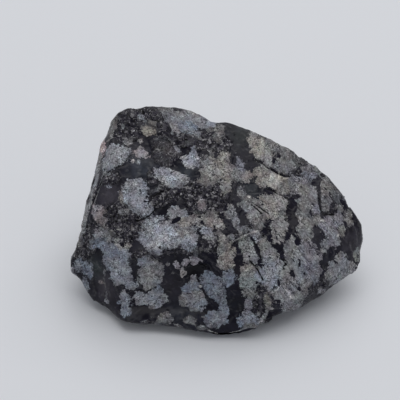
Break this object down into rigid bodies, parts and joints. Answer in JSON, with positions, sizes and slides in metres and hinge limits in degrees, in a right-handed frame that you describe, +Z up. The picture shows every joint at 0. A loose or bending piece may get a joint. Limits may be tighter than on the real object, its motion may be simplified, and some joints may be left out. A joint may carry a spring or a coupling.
{
  "type": "snowflake obsidian specimen",
  "caption": "Rough hand-sized lump of black volcanic glass with pale snowflake-like crystal patches, resting on a small flat spot.",
  "frame": {"origin": "on the surface it stands on, under the middle of its outline seen from above", "axes": "+X along the lump's length towards its thinner end, +Y from the front with the hollow towards the back, +Z up"},
  "size_m": [0.069, 0.0444, 0.0394],
  "materials": {
    "obsidian": "glossy to satin black volcanic glass, broken and not polished, with matte grey-white radiating snowflake patches from about 1 to 10 mm across; bluish on the left and front, warm grey towards the right and top"
  },
  "bodies": {
    "root": {"obsidian_lump": "obsidian"}
  },
  "joints": []
}
